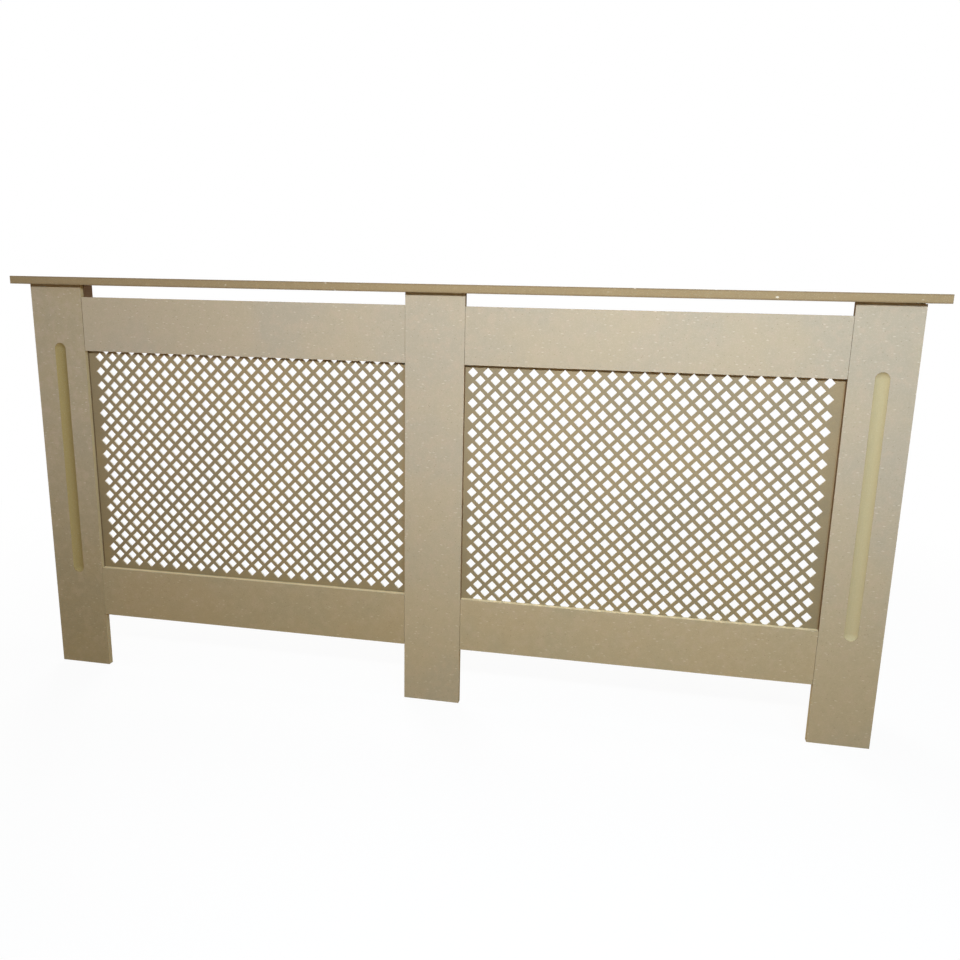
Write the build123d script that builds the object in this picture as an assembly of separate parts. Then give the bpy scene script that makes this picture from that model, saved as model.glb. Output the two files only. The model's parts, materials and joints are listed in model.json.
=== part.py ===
# Radiator cover cabinet: a flat-pack, unpainted MDF cover with an open back and an open floor.
# A front frame of three stiles and four rails carries two lattice grilles. Two side panels stand
# behind it, and a thin shelf lies on top and reaches back to the wall, over a skirting board. Warm
# air leaves through the gap under the shelf.
# Units are millimetres. X runs along the cabinet, Y from the room to the wall, Z up from the floor.
# The origin is on the floor, in the middle of the length and of the depth.
from build123d import *
from math import floor, sqrt
import os

os.makedirs("parts", exist_ok=True)

# Top shelf
shelf_length = 1720.0
shelf_depth = 190.0
shelf_thickness = 15.0
shelf_end_overhang = 33.0
shelf_front_overhang = 15.0
shelf_back_overhang = 26.0  # keeps the side panels clear of a skirting board

# Front frame, all of one board
board_thickness = 12.0
stile_height = 800.0
outer_stile_width = 110.0
centre_stile_width = 112.0
top_rail_height = 105.0
bottom_rail_height = 104.0
air_outlet_height = 23.0  # open gap between a top rail and the shelf
air_inlet_height = 115.0  # open gap between a bottom rail and the floor

# Stopped flute, routed down the middle of each outer stile with a round-nosed cutter
flute_width = 24.0
flute_depth = 6.0
flute_overrun = 14.0  # how far each end passes the edge of the grille window

# Side panels
side_panel_thickness = 12.0

# Lattice grilles, fixed behind the frame
grille_thickness = 3.0
grille_hole = 13.0  # side of one square hole, which stands on its corner
grille_bar = 7.0
grille_side_lap = 19.5  # mean lap of the sheet behind a stile
grille_end_lap = 23.5  # mean lap of the sheet behind a rail
grille_least_margin = 20.0  # solid edge kept round the holes
grille_inward_shift = 3.5
grille_lift = {"left": 9.0, "right": -4.0}
grille_turn = {"left": 0.0, "right": 0.5}  # degrees, outer end up

# Small round bars and holes are drawn with this many flat sides
small_round_sides = 8

# Beech dowels
dowel_diameter = 6.0
frame_dowel_length = 30.0
frame_dowel_edge_distance = 26.0  # from a rail's long edge
shelf_dowel_length = 24.0
shelf_dowel_bite = 9.0  # how far it enters the shelf
centre_shelf_dowel_offset = 32.0
dowel_end_gap = 1.0  # room for glue at each end

# Plastic joint blocks
block_leg = 20.0
block_lip = 8.0
block_length = 32.0
block_floor = 5.0  # thickness under a screw's head
block_pocket_diameter = 8.4
block_screw_distance = 12.0  # from the face of the other board
block_screw_stagger = 8.0
side_block_count = 3
side_block_end_distance = 100.0  # from the stile's end to the nearest block's middle

# Battens under the shelf, one along the top of each side panel
batten_width = 20.0
batten_height = 28.0
batten_panel_screw_distance = 32.0  # from a batten's end
batten_shelf_screw_distance = 14.0  # from a batten's end
batten_panel_screw_seat = 16.0  # from the panel to the seat of the screw's head
batten_shelf_screw_seat = 18.0  # from the shelf to the seat of the screw's head

# Pan-head screws
screw_core_diameter = 3.0
screw_head_diameter = 7.0
screw_head_height = 2.2
screw_tip_length = 3.0
screw_clearance = 0.4  # on the diameter, in plastic and steel
pilot_relief = 0.5  # depth of a pilot hole past the point
block_screw_length = 14.0
bracket_screw_length = 10.0
batten_panel_screw_length = 25.0
batten_shelf_screw_length = 30.0

# Steel wall brackets
bracket_lap = 25.0  # on a side panel
bracket_wall_leg = 30.0
bracket_width = 20.0
bracket_thickness = 2.0
bracket_bend_radius = 1.0
bracket_hole_end_distance = 12.0
bracket_drop = 75.0  # from the shelf's underside to a bracket's middle
wall_hole_diameter = 4.5

# Wire staples that hold the grilles
staple_crown = 10.0
staple_leg = 8.0
staple_wire_width = 1.2
staple_wire_thickness = 0.8
staple_inset = 8.0  # from the sheet's edge
staples_per_long_edge = 3
staples_per_short_edge = 2

# Planes and edges that the pieces share
shelf_front = -shelf_depth / 2
wall_plane = shelf_depth / 2
frame_front = shelf_front + shelf_front_overhang
frame_back = frame_front + board_thickness
panel_back = wall_plane - shelf_back_overhang
board_middle = (frame_front + frame_back) / 2
frame_end = shelf_length / 2 - shelf_end_overhang
outer_stile_edge = frame_end - outer_stile_width
centre_stile_edge = centre_stile_width / 2
side_inner_face = frame_end - side_panel_thickness
top_rail_range = (stile_height - air_outlet_height - top_rail_height, stile_height - air_outlet_height)
bottom_rail_range = (air_inlet_height, air_inlet_height + bottom_rail_height)
window_range = (bottom_rail_range[1], top_rail_range[0])
outer_stile_middle = (outer_stile_edge + frame_end) / 2
stile_middles = (-outer_stile_middle, 0.0, outer_stile_middle)

sides = {"left": -1, "right": 1}
across = Vector(1, 0, 0)
to_wall = Vector(0, 1, 0)
up = Vector(0, 0, 1)


def board(x_range, y_range, z_range):
    # A plain board between two planes each way
    (x0, x1), (y0, y1), (z0, z1) = sorted(x_range), sorted(y_range), sorted(z_range)
    return Pos(x0, y0, z0) * Box(x1 - x0, y1 - y0, z1 - z0, align=Align.MIN)


def pointing(origin, direction):
    # A place whose own Z runs along the direction
    return Plane(origin=origin, z_dir=direction).location


def corner(origin, off_first, off_second):
    # A place in the angle between two boards: its X leads off the first board, its Y off the second
    return Plane(origin=origin, x_dir=off_first, z_dir=off_first.cross(off_second)).location


def spread(count, pitch):
    # Evenly pitched positions about zero
    return [(n - (count - 1) / 2) * pitch for n in range(count)]


# Lattice grilles: a thin sheet pierced by square holes standing on their corners. Rising slots pierce
# the front half of the sheet and falling slots the back half, so that only their crossings go through.
hole_step = (grille_hole + grille_bar) / sqrt(2)  # between rows, and half the pitch along a row
hole_reach = grille_hole / sqrt(2)
sheet_width = outer_stile_edge - centre_stile_edge + 2 * grille_side_lap
sheet_height = window_range[1] - window_range[0] + 2 * grille_end_lap


def steps_across(extent):
    # Whole hole steps that fit between the outermost holes of a row or column
    return floor((extent - 2 * (grille_least_margin + hole_reach)) / hole_step)


last_column = 2 * (steps_across(sheet_width) // 2)  # the top row is a long one, with a hole at each end
last_row = steps_across(sheet_height)


def lattice_slots(slope):
    # One slot for each diagonal chain of holes, rising to the right (slope 1) or falling (slope -1)
    slots = []
    for chain in range(-last_row, last_column + last_row + 1):
        columns = [i for i in range(last_column + 1) if 0 <= slope * (chain - i) <= last_row]
        if chain % 2 == 0 and columns:
            middle = (columns[0] + columns[-1]) / 2
            x = (middle - last_column / 2) * hole_step
            z = (last_row / 2 - slope * (chain - middle)) * hole_step
            length = (columns[-1] - columns[0]) * (grille_hole + grille_bar) + grille_hole
            slots.append(Pos(x, z) * Rectangle(length, grille_hole, rotation=45 * slope))
    return slots


def grille_half(slope):
    half = Rectangle(sheet_width, sheet_height) - lattice_slots(slope)
    return extrude(Plane.XZ * half, amount=-grille_thickness / 2)


def grille_place(name):
    side = sides[name]
    x = side * ((centre_stile_edge + outer_stile_edge) / 2 - grille_inward_shift)
    z = (window_range[0] + window_range[1]) / 2 + grille_lift[name]
    return Pos(x, frame_back, z) * Rot(0, -side * grille_turn[name], 0)


def grille(name):
    # Both sheets are cut alike, and the left one is turned end for end
    turned = Rot(0, 180 if name == "left" else 0, 0)
    return [turned * grille_half(1), Pos(0, grille_thickness / 2, 0) * turned * grille_half(-1)]


# Staples, driven through the edge of a sheet into the frame
def staple():
    # The underside of the crown is at Y = 0 and the legs point to -Y
    half_crown = staple_crown / 2
    inside = half_crown - staple_wire_thickness
    outline = Polygon(
        (-half_crown, staple_wire_thickness),
        (-half_crown, -staple_leg),
        (-inside, -staple_leg),
        (-inside, 0),
        (inside, 0),
        (inside, -staple_leg),
        (half_crown, -staple_leg),
        (half_crown, staple_wire_thickness),
        align=None,
    )
    return extrude(outline, amount=staple_wire_width / 2, both=True)


def staples():
    # The staples of one sheet, placed from the middle of its front face
    row_height = sheet_height / 2 - staple_inset
    column_reach = sheet_width / 2 - staple_inset
    placed = []
    for edge in (-1, 1):
        for x in spread(staples_per_long_edge, sheet_width / staples_per_long_edge):
            placed.append(Pos(x, grille_thickness, edge * row_height) * staple())
        for z in spread(staples_per_short_edge, sheet_height / staples_per_short_edge):
            placed.append(Pos(edge * column_reach, grille_thickness, z) * Rot(0, 90, 0) * staple())
    return placed


# Dowels
def round_bar(diameter, length):
    # A small round bar that hangs down from Z = 0
    return extrude(RegularPolygon(diameter / 2, small_round_sides), amount=-length)


def dowel(length):
    return Pos(0, 0, length / 2) * round_bar(dowel_diameter, length)


def frame_dowel_places(name):
    side = sides[name]
    joints = (side * centre_stile_edge, side * outer_stile_edge)
    inset = frame_dowel_edge_distance
    heights = [z for low, high in (top_rail_range, bottom_rail_range) for z in (low + inset, high - inset)]
    return [Pos(x, board_middle, z) * Rot(0, 90, 0) for x in joints for z in heights]


def shelf_dowel_places():
    z = stile_height + shelf_dowel_bite - shelf_dowel_length / 2
    places = []
    for side in sides.values():
        places.append(Pos(side * outer_stile_middle, board_middle, z))
        places.append(Pos(side * centre_shelf_dowel_offset, board_middle, z))
        panel_middle = frame_end - side_panel_thickness / 2
        places.append(Pos(side * panel_middle, (frame_back + panel_back) / 2, z))
    return places


# Screws
def wood_screw(length):
    # The seat under the head is at Z = 0 and the point is below it
    head = Pos(0, 0, screw_head_height) * round_bar(screw_head_diameter, screw_head_height)
    core = round_bar(screw_core_diameter, length - screw_tip_length)
    tip = loft([core.faces().sort_by(Axis.Z)[0], Vertex(0, 0, -length)], ruled=True)
    return head + core + tip


def pilot_hole(length):
    return round_bar(screw_core_diameter, length + pilot_relief)


def clearance_hole(thickness):
    return round_bar(screw_core_diameter + screw_clearance, thickness)


# Joint blocks, each screwed to the two boards that meet there
block_screw_to_first = pointing((block_floor, block_screw_distance, block_screw_stagger), across)
block_screw_to_second = pointing((block_screw_distance, block_floor, -block_screw_stagger), to_wall)


def joint_block():
    section = Polygon(
        (0, 0),
        (block_leg, 0),
        (block_leg, block_lip),
        (block_lip, block_leg),
        (0, block_leg),
        align=None,
    )
    block = extrude(section, amount=block_length / 2, both=True)
    pocket = Pos(0, 0, block_leg) * round_bar(block_pocket_diameter, block_leg)
    for seat in (block_screw_to_first, block_screw_to_second):
        block -= seat * pocket
        block -= seat * clearance_hole(block_floor)
    return block


def side_block_places(name):
    # Between a side panel, first, and the back of its stile
    side = sides[name]
    span = stile_height - 2 * side_block_end_distance
    heights = [stile_height / 2 + z for z in spread(side_block_count, span / (side_block_count - 1))]
    return [corner((side * side_inner_face, frame_back, z), -side * across, to_wall) for z in heights]


def shelf_block_place(x):
    # Between the back of a stile, first, and the underside of the shelf
    return corner((x, frame_back, stile_height), to_wall, -up)


# Battens, each in the angle between a side panel and the underside of the shelf
def batten_place(name):
    side = sides[name]
    middle = (frame_back + panel_back) / 2
    return corner((side * side_inner_face, middle, stile_height), -side * across, -up)


def batten_screw_seats(group):
    # Two screws into the side panel, or two up into the shelf
    half = (panel_back - frame_back) / 2
    seats = []
    for end in (-1, 1):
        if group == "panel":
            z = end * (half - batten_panel_screw_distance)
            seats.append(pointing((batten_panel_screw_seat, batten_height / 2, z), across))
        else:
            z = end * (half - batten_shelf_screw_distance)
            seats.append(pointing((batten_width / 2, batten_shelf_screw_seat, z), to_wall))
    return seats


def batten():
    half = (panel_back - frame_back) / 2
    strip = board((0, batten_width), (0, batten_height), (-half, half))
    pocket = Pos(0, 0, batten_height) * round_bar(block_pocket_diameter, batten_height)
    for group in ("panel", "shelf"):
        for seat in batten_screw_seats(group):
            strip -= seat * pocket
            strip -= seat * clearance_hole(batten_height)
    return strip


# Wall brackets, in the angle between the plane of a side panel's inner face and the wall
bracket_side_leg = shelf_back_overhang + bracket_lap
bracket_screw_seat = pointing(
    (bracket_thickness, bracket_side_leg - bracket_hole_end_distance, 0), across
)
bracket_wall_seat = pointing(
    (bracket_wall_leg - bracket_hole_end_distance, bracket_thickness, 0), to_wall
)


def bracket_place(name):
    side = sides[name]
    z = stile_height - bracket_drop
    return corner((side * side_inner_face, wall_plane, z), -side * across, -to_wall)


def wall_bracket():
    # Bent from strip, which is drawn along its middle line
    middle = bracket_thickness / 2
    corners = ((bracket_wall_leg, middle), (middle, middle), (middle, bracket_side_leg))
    middle_line = FilletPolyline(*corners, radius=bracket_bend_radius + middle)
    bracket = extrude(trace(middle_line, bracket_thickness), amount=bracket_width / 2, both=True)
    bracket -= bracket_screw_seat * clearance_hole(bracket_thickness)
    wall_hole = Cylinder(wall_hole_diameter / 2, 2 * bracket_thickness)
    return bracket - bracket_wall_seat * wall_hole


# Frame boards
def flute_cutter(x):
    # A round-nosed cutter's path: a long round bar with a ball at each end
    radius = (flute_width**2 / 4 + flute_depth**2) / (2 * flute_depth)
    axis_y = frame_front + flute_depth - radius
    low = window_range[0] - flute_overrun + flute_width / 2
    high = window_range[1] + flute_overrun - flute_width / 2
    bar = Cylinder(radius, high - low, align=(Align.CENTER, Align.CENTER, Align.MIN))
    return Pos(x, axis_y, low) * bar + [Pos(x, axis_y, z) * Sphere(radius) for z in (low, high)]


def frame_cuts(name):
    # Dowel holes and staple legs in one half of the frame
    hole = dowel(frame_dowel_length + 2 * dowel_end_gap)
    cuts = [place * hole for place in frame_dowel_places(name)]
    return cuts + [grille_place(name) * wire for wire in staples()]


def shelf_dowel_cuts():
    hole = dowel(shelf_dowel_length + 2 * dowel_end_gap)
    return [place * hole for place in shelf_dowel_places()]


def outer_stile(name):
    side = sides[name]
    stile = board(
        (side * outer_stile_edge, side * frame_end), (frame_front, frame_back), (0, stile_height)
    )
    middle = side * outer_stile_middle
    pilots = [p * block_screw_to_second * pilot_hole(block_screw_length) for p in side_block_places(name)]
    pilots.append(shelf_block_place(middle) * block_screw_to_first * pilot_hole(block_screw_length))
    flute = flute_cutter(middle)
    return stile - frame_cuts(name) - shelf_dowel_cuts() - pilots - flute


def centre_stile():
    stile = board(
        (-centre_stile_edge, centre_stile_edge), (frame_front, frame_back), (0, stile_height)
    )
    pilot = shelf_block_place(0) * block_screw_to_first * pilot_hole(block_screw_length)
    return stile - frame_cuts("left") - frame_cuts("right") - shelf_dowel_cuts() - pilot


def rail(name, z_range):
    side = sides[name]
    x_range = (side * centre_stile_edge, side * outer_stile_edge)
    return board(x_range, (frame_front, frame_back), z_range) - frame_cuts(name)


# Side panels
def side_panel(name):
    side = sides[name]
    x_range = (side * side_inner_face, side * frame_end)
    panel = board(x_range, (frame_back, panel_back), (0, stile_height))
    pilots = [
        place * block_screw_to_first * pilot_hole(block_screw_length) for place in side_block_places(name)
    ]
    for seat in batten_screw_seats("panel"):
        pilots.append(batten_place(name) * seat * pilot_hole(batten_panel_screw_length))
    pilots.append(bracket_place(name) * bracket_screw_seat * pilot_hole(bracket_screw_length))
    return panel - pilots - shelf_dowel_cuts()


# Shelf
def top_shelf():
    shelf = board(
        (-shelf_length / 2, shelf_length / 2),
        (shelf_front, wall_plane),
        (stile_height, stile_height + shelf_thickness),
    )
    pilots = [
        shelf_block_place(x) * block_screw_to_second * pilot_hole(block_screw_length) for x in stile_middles
    ]
    for name in sides:
        for seat in batten_screw_seats("shelf"):
            pilots.append(batten_place(name) * seat * pilot_hole(batten_shelf_screw_length))
    return shelf - shelf_dowel_cuts() - pilots


# The pieces, each under its own name
pieces = {"top_shelf": [top_shelf()], "centre_stile": [centre_stile()]}
side_blocks = []
shelf_blocks = [shelf_block_place(x) for x in stile_middles]
for name in sides:
    place = grille_place(name)
    cuts = staples()
    pieces[f"{name}_stile"] = [outer_stile(name)]
    pieces[f"{name}_top_rail"] = [rail(name, top_rail_range)]
    pieces[f"{name}_bottom_rail"] = [rail(name, bottom_rail_range)]
    pieces[f"{name}_grille"] = [place * (half - cuts) for half in grille(name)]
    pieces[f"{name}_grille_staples"] = [place * wire for wire in cuts]
    pieces[f"{name}_side_panel"] = [side_panel(name)]
    pieces[f"{name}_wall_bracket"] = [bracket_place(name) * wall_bracket()]
    side_blocks += side_block_places(name)

block_screws = (block_screw_to_first, block_screw_to_second)
pieces["side_joint_blocks"] = [place * joint_block() for place in side_blocks]
pieces["shelf_joint_blocks"] = [place * joint_block() for place in shelf_blocks]
for group, places in (("side", side_blocks), ("shelf", shelf_blocks)):
    seats = [place * seat for place in places for seat in block_screws]
    pieces[f"{group}_block_screws"] = [seat * wood_screw(block_screw_length) for seat in seats]
pieces["shelf_battens"] = [batten_place(name) * batten() for name in sides]
pieces["batten_screws"] = [
    batten_place(name) * seat * wood_screw(length)
    for name in sides
    for group, length in (("panel", batten_panel_screw_length), ("shelf", batten_shelf_screw_length))
    for seat in batten_screw_seats(group)
]
pieces["bracket_screws"] = [
    bracket_place(name) * bracket_screw_seat * wood_screw(bracket_screw_length) for name in sides
]
pieces["frame_dowels"] = [
    place * dowel(frame_dowel_length) for name in sides for place in frame_dowel_places(name)
]
pieces["shelf_dowels"] = [place * dowel(shelf_dowel_length) for place in shelf_dowel_places()]

for name, shapes in pieces.items():
    solids = [solid for shape in shapes for solid in shape.solids()]
    export_step(solids[0] if len(solids) == 1 else Compound(solids), f"parts/{name}.step")
    print(f"{name}: {len(solids)} solids, {sum(solid.volume for solid in solids) / 1000:.1f} cm3")
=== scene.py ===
# Radiator cover cabinet in raw MDF: finishes, fine shapes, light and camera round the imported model.
# Everything is in metres, in the model's own frame: X along the cabinet, Y to the wall, Z up.
import bmesh
import bpy
import json
from math import pi, radians, sqrt
from mathutils import Matrix, Vector

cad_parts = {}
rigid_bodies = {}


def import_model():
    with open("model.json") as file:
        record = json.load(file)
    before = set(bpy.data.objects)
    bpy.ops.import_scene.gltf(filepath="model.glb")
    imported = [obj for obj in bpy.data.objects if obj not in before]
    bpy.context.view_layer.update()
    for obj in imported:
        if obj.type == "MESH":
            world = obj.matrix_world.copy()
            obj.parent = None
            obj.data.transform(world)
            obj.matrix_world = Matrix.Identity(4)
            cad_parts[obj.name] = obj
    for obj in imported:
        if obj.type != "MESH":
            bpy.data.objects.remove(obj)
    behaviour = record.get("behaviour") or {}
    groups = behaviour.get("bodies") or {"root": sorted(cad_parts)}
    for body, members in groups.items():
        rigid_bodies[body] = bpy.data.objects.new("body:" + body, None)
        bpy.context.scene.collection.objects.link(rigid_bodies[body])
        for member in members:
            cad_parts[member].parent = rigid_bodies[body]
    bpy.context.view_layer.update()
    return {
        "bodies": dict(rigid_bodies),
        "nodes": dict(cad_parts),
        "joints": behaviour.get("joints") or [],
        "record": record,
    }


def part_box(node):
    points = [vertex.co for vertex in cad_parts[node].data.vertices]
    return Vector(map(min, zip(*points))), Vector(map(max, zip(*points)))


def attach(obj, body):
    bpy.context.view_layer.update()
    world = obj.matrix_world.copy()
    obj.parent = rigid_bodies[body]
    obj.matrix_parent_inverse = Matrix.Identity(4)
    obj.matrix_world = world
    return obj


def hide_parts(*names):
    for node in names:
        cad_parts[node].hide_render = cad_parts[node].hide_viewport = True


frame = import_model()
print("frame loaded:", len(frame["nodes"]), "nodes")

mm = 0.001
near = 0.01 * mm  # points within this are the same
squareOn = 0.9  # share of a face's normal along an axis from which the face is square to it
sides = {"left": -1, "right": 1}

# places that several pieces and finishes share
cabinet = {
    "frameMiddle": -74 * mm,
    "frameBack": -68 * mm,
    "boardHalf": 6 * mm,  # half the thickness of the frame and of the side panels
    "panelMiddle": 821 * mm,
    "panelInside": 815 * mm,
    "shelfMiddle": 807.5 * mm,
    "shelfHalf": 7.5 * mm,
    "underShelf": 800 * mm,
    "stileMiddle": 772 * mm,
    "panelCentre": 0.5 * mm,  # in depth, of the side panels and the battens
}
rails = {"top": (672 * mm, 777 * mm), "bottom": (115 * mm, 219 * mm)}
window = (rails["bottom"][1], rails["top"][0])


# working by hand, in code
def only(piece):
    # this piece alone is selected and active
    bpy.ops.object.select_all(action="DESELECT")
    piece.select_set(True)
    bpy.context.view_layer.objects.active = piece
    return piece


def settled(piece):
    # its place and turn go into its mesh
    only(piece)
    bpy.ops.object.transform_apply(location=True, rotation=True, scale=True)
    return piece


def added(name):
    # the primitive just added, named and settled
    piece = bpy.context.object
    piece.name = name
    piece.data.name = name
    return settled(piece)


def addBlock(name, low, high):
    middle = [(a + b) / 2 for a, b in zip(low, high)]
    bpy.ops.mesh.primitive_cube_add(size=1, location=middle, scale=[b - a for a, b in zip(low, high)])
    return added(name)


def addRod(name, radius, length, facets, middle=(0, 0, 0), turn=(0, 0, 0)):
    bpy.ops.mesh.primitive_cylinder_add(
        vertices=facets, radius=radius, depth=length, location=middle, rotation=turn
    )
    return added(name)


def editing(piece):
    only(piece)
    bpy.ops.object.mode_set(mode="EDIT")
    bpy.ops.mesh.select_mode(type="FACE")


def finished(piece):
    bpy.ops.object.mode_set(mode="OBJECT")
    return piece


def pick(piece, test, edges=False):
    # in edit mode, select only the faces or edges that pass the test
    bpy.ops.mesh.select_mode(type="EDGE" if edges else "FACE")
    bpy.ops.mesh.select_all(action="DESELECT")
    mesh = bmesh.from_edit_mesh(piece.data)
    for part in [p for p in (mesh.edges if edges else mesh.faces) if test(p)]:
        part.select_set(True)
    bmesh.update_edit_mesh(piece.data)


def looksDown(face):
    return face.normal.z < -squareOn


def pull(x, y, z):
    # in edit mode, draw the picked faces out by a step
    bpy.ops.mesh.extrude_region_move(TRANSFORM_OT_translate={"value": (x, y, z)})


def bevelPicked(width, segments):
    # in edit mode, cut the picked edges off
    bpy.ops.mesh.bevel(offset=width, segments=segments, affect="EDGES")


def applied(piece, kind, **settings):
    # a modifier, set and applied
    only(piece)
    bpy.ops.object.modifier_add(type=kind)
    modifier = piece.modifiers[-1]
    for key, value in settings.items():
        setattr(modifier, key, value)
    bpy.ops.object.modifier_apply(modifier=modifier.name)
    return piece


def eased(piece, width, segments):
    # a fine round on every edge sharper than 35 degrees
    return applied(
        piece, "BEVEL", width=width, segments=segments, limit_method="ANGLE", angle_limit=radians(35),
        use_clamp_overlap=True, miter_outer="MITER_ARC",
    )


def smoothed(piece, angle=30):
    # soft shading on the rounds, and the large flat faces kept flat
    only(piece)
    bpy.ops.object.shade_smooth_by_angle(angle=radians(angle))
    return applied(piece, "WEIGHTED_NORMAL", keep_sharp=True)


def cut(piece, cutters):
    # takes the cutters' shapes out of the piece
    tool = joined("cutter", cutters)
    applied(piece, "BOOLEAN", operation="DIFFERENCE", solver="EXACT", object=tool, use_self=True)
    bpy.data.objects.remove(tool)
    return piece


def joined(name, pieces):
    bpy.ops.object.select_all(action="DESELECT")
    for piece in pieces:
        piece.select_set(True)
    bpy.context.view_layer.objects.active = pieces[0]
    if len(pieces) > 1:
        bpy.ops.object.join()
    piece = bpy.context.object
    piece.name = name
    piece.data.name = name
    return piece


def copiesAt(name, model, places):
    # the model copied to each place, joined as one piece, and the model removed
    copies = []
    for place in places:
        copy = model.copy()
        copy.data = model.data.copy()
        bpy.context.scene.collection.objects.link(copy)
        copy.matrix_world = place
        copies.append(settled(copy))
    bpy.data.objects.remove(model)
    return joined(name, copies)


def dressed(piece, nodes, materials):
    # the piece stands for its CAD nodes, takes its finishes and rides on the one body
    for material in materials:
        piece.data.materials.append(material)
    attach(piece, "root")
    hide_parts(*nodes)
    return piece


def placeFrom(origin, xDirection, yDirection):
    # a matrix with its own X and Y along two directions at a right angle
    x, y = Vector(xDirection), Vector(yDirection)
    turn = Matrix((x, y, x.cross(y))).transposed().to_4x4()
    return Matrix.Translation(origin) @ turn


def pointing(origin, direction):
    # a matrix with its own Z along the direction
    return Matrix.Translation(origin) @ Vector(direction).to_track_quat("Z", "Y").to_matrix().to_4x4()


# shader maths, written as sums
class Wire:
    # one output socket, so that masks and noises are added and multiplied like numbers
    def __init__(self, recipe, socket):
        self.recipe = recipe
        self.socket = socket

    def calc(self, operation, *terms):
        return self.recipe.node("ShaderNodeMath", {"operation": operation}, dict(enumerate(terms)))

    def __add__(self, other):
        return self.calc("ADD", self, other)

    def __sub__(self, other):
        return self.calc("SUBTRACT", self, other)

    def __rsub__(self, other):
        return self.calc("SUBTRACT", other, self)

    def __mul__(self, other):
        return self.calc("MULTIPLY", self, other)

    def __truediv__(self, other):
        return self.calc("DIVIDE", self, other)

    def __abs__(self):
        return self.calc("ABSOLUTE", self)

    __radd__ = __add__
    __rmul__ = __mul__

    def ramp(self, low, high):
        # 0 at low, 1 at high, smooth between
        settings = {"interpolation_type": "SMOOTHSTEP"}
        return self.recipe.node("ShaderNodeMapRange", settings, {0: self, 1: low, 2: high, 3: 0.0, 4: 1.0})


flecking = {
    "core": (0.18, 0.42),  # distance from a cell's seed over which its fleck fades out
    "full": 0.6,  # share of the chosen cells that show in full
}


class Recipe:
    # one procedural material
    def __init__(self, name):
        self.material = bpy.data.materials.new(name)
        self.material.use_nodes = True
        self.tree = self.material.node_tree
        self.shader = self.tree.nodes["Principled BSDF"]
        self.place = self.node("ShaderNodeTexCoord", {}, {}, "Object")

    def node(self, kind, settings, values, output=0):
        # any node: its settings, then the values or wires of its sockets
        made = self.tree.nodes.new(kind)
        for key, value in settings.items():
            setattr(made, key, value)
        for key, value in values.items():
            self.feed(made.inputs[key], value)
        return Wire(self, made.outputs[output])

    def feed(self, socket, value):
        if isinstance(value, Wire):
            self.tree.links.new(value.socket, socket)
        else:
            socket.default_value = value

    def along(self, axis):
        # the place on the piece along 0 X, 1 Y or 2 Z
        return self.node("ShaderNodeSeparateXYZ", {}, {0: self.place}, axis)

    def moved(self, stretch=(1, 1, 1), turn=(0, 0, 0), shift=0.0):
        # the place on the piece for a pattern: stretched, turned by degrees and shifted
        if stretch == (1, 1, 1) and turn == (0, 0, 0) and shift == 0:
            return self.place
        angles = [radians(angle) for angle in turn]
        values = {"Vector": self.place, "Location": [shift] * 3, "Rotation": angles, "Scale": stretch}
        return self.node("ShaderNodeMapping", {}, values)

    def noise(self, scale, detail, rough, stretch=(1, 1, 1), shift=0.0):
        place = self.moved(stretch, shift=shift)
        values = {"Vector": place, "Scale": scale, "Detail": detail, "Roughness": rough}
        return self.node("ShaderNodeTexNoise", {}, values)

    def flecks(self, length, width, share, turn, shift=0.0):
        # short fibres or chips: long thin cells, of which a share shows
        place = self.moved((1 / length, 1 / width, 1 / width), turn, shift)
        values = {"Vector": place, "Scale": 1.0, "Randomness": 1.0}
        distance = self.node("ShaderNodeTexVoronoi", {}, values, "Distance")
        chance = self.node("ShaderNodeTexVoronoi", {}, values, "Color")
        chosen = self.node("ShaderNodeSeparateColor", {}, {0: chance})
        shown = chosen.ramp(1 - share, 1 - share * flecking["full"])
        return (1 - distance.ramp(*flecking["core"])) * shown

    def tint(self, factor, first, second, blend="MIX"):
        # from the first colour to the second by the factor
        settings = {"data_type": "RGBA", "blend_type": blend}
        return self.node("ShaderNodeMix", settings, {0: factor, 6: first, 7: second}, 2)

    def paintedLowShade(self, colour, tone):
        # painted shade with the warm cast of the floor's bounce light: the colour times a tone that comes
        # in towards the floor
        return self.tint(1 - self.along(2).ramp(*mdf["lowShadeReach"]), colour, tone, "MULTIPLY")

    def shade(self, colour, factor):
        # the colour times a factor
        return self.node("ShaderNodeVectorMath", {"operation": "SCALE"}, {0: colour, 3: factor})

    def finish(self, colour, roughness, specular=None, bump=None, metallic=None):
        # a bump is a height, a strength and a distance
        given = {
            "Base Color": colour,
            "Roughness": roughness,
            "Specular IOR Level": specular,
            "Metallic": metallic,
        }
        if bump:
            values = dict(zip(("Height", "Strength", "Distance"), bump))
            given["Normal"] = self.node("ShaderNodeBump", {}, values)
        for key, value in given.items():
            if value is not None:
                self.feed(self.shader.inputs[key], value)
        return self.material


def srgb(red, green, blue):
    # a colour as a screen shows it, made linear
    def linear(value):
        value = value / 255
        return value / 12.92 if value <= 0.04045 else ((value + 0.055) / 1.055) ** 2.4
    return (linear(red), linear(green), linear(blue), 1.0)


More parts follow.
